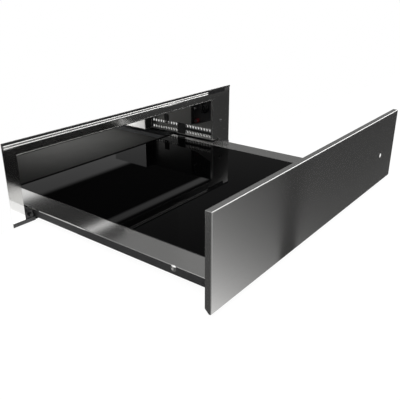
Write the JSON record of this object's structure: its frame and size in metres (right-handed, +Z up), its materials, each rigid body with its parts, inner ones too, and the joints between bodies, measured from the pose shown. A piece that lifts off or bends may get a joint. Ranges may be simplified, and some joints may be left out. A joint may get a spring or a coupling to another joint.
{
  "type": "warming drawer",
  "caption": "Low stainless warming drawer standing open: steel housing with side air duct and controls, glass-floored tray on telescopic rails.",
  "frame": {"origin": "on the counter, half way across the front and half way from the open drawer's front face to the cable gland at the rear", "axes": "+X to the right along the front, +Y to the rear, +Z up"},
  "size_m": [0.595, 0.917, 0.141],
  "materials": {
    "front_steel": "brushed along its length",
    "tray_steel": "brushed along its depth",
    "frame_steel": "bright rolled",
    "trim_steel": "polished",
    "housing_sheet": "galvanised sheet",
    "liner_steel": "satin",
    "rail_steel": "zinc plated",
    "screw_steel": "bright",
    "pan_sheet": "rolled",
    "black_glass": "polished",
    "seal_rubber": "matt",
    "black_plastic": "fine grain",
    "grey_plastic": "fine grain",
    "red_lens": "clear tinted",
    "clear_lens": "clear",
    "wool": "felted fibre",
    "core_board": "pressed board",
    "aluminium": "stamped",
    "motor_case": "satin"
  },
  "bodies": {
    "housing": {"base_plate": "housing_sheet", "left_side_wall": "housing_sheet", "right_side_wall": "housing_sheet", "rear_wall": "housing_sheet", "top_cover": "housing_sheet", "cover_screws": "screw_steel", "feet": "seal_rubber", "front_frame": "frame_steel", "frame_screw": "screw_steel", "frame_top_lip": "seal_rubber", "frame_trim_strip": "trim_steel", "air_outlet_grille": "black_plastic", "left_liner": "liner_steel", "rear_liner": "liner_steel", "ceiling_panel": "liner_steel", "ceiling_insulation": "wool", "duct_panel": "liner_steel", "control_recess": "black_plastic", "thermostat": "grey_plastic", "switch_ring": "red_lens", "switch_body": "grey_plastic", "pilot_lamp": "clear_lens", "fan_box": "liner_steel", "fan_motor": "motor_case", "motor_bracket": "rail_steel", "air_heater": "aluminium", "thermal_cutout": "black_plastic", "cable_gland": "black_plastic", "terminal_block": "grey_plastic", "left_latch_body": "grey_plastic", "right_latch_body": "grey_plastic", "left_rail_outer": "rail_steel", "right_rail_outer": "rail_steel"},
    "drawer": {"front_skin": "front_steel", "front_core": "core_board", "front_back_plate": "pan_sheet", "lens_ring": "black_plastic", "status_lens": "clear_lens", "front_bumpers": "seal_rubber", "front_screws": "screw_steel", "tray_frame": "tray_steel", "glass_plate": "black_glass", "glass_seal": "seal_rubber", "tray_pan": "pan_sheet", "tray_insulation": "wool", "clamp_bar": "rail_steel", "left_rail_inner": "rail_steel", "right_rail_inner": "rail_steel", "left_rail_brackets": "rail_steel", "right_rail_brackets": "rail_steel", "skirt_screws": "screw_steel"},
    "left_middle_rail": {"left_rail_middle": "rail_steel"},
    "right_middle_rail": {"right_rail_middle": "rail_steel"},
    "knob": {"thermostat_knob": "black_plastic", "knob_shaft": "rail_steel"},
    "button": {"power_button": "black_plastic"},
    "fan": {"fan_wheel": "aluminium", "fan_shaft": "rail_steel"},
    "left_plunger": {"left_latch_plunger": "grey_plastic"},
    "right_plunger": {"right_latch_plunger": "grey_plastic"}
  },
  "joints": [
    {"name": "drawer_slide", "type": "slide", "parent": "housing", "child": "drawer", "axis": [0, -1, 0], "range_m": [-0.375, 0]},
    {"name": "left_rail_slide", "type": "slide", "parent": "housing", "child": "left_middle_rail", "axis": [0, -1, 0], "range_m": [-0.1875, 0]},
    {"name": "right_rail_slide", "type": "slide", "parent": "housing", "child": "right_middle_rail", "axis": [0, -1, 0], "range_m": [-0.1875, 0]},
    {"name": "knob_turn", "type": "hinge", "parent": "housing", "child": "knob", "pos_m": [0.244, -0.0385, 0.092], "axis": [1, 0, 0], "range_deg": [0, 270]},
    {"name": "button_press", "type": "slide", "parent": "housing", "child": "button", "axis": [1, 0, 0], "range_m": [0, 0.002], "stiffness_N_per_m": 300},
    {"name": "fan_spin", "type": "hinge", "parent": "housing", "child": "fan", "pos_m": [0.2435, 0.2095, 0.0703], "axis": [0, 1, 0], "continuous": true},
    {"name": "left_plunger_press", "type": "slide", "parent": "housing", "child": "left_plunger", "axis": [0, 1, 0], "range_m": [0, 0.003], "stiffness_N_per_m": 400},
    {"name": "right_plunger_press", "type": "slide", "parent": "housing", "child": "right_plunger", "axis": [0, 1, 0], "range_m": [0, 0.003], "stiffness_N_per_m": 400}
  ],
  "couplings": [
    {"joint": "left_rail_slide", "follows": "drawer_slide", "ratio": 0.5},
    {"joint": "right_rail_slide", "follows": "drawer_slide", "ratio": 0.5}
  ]
}
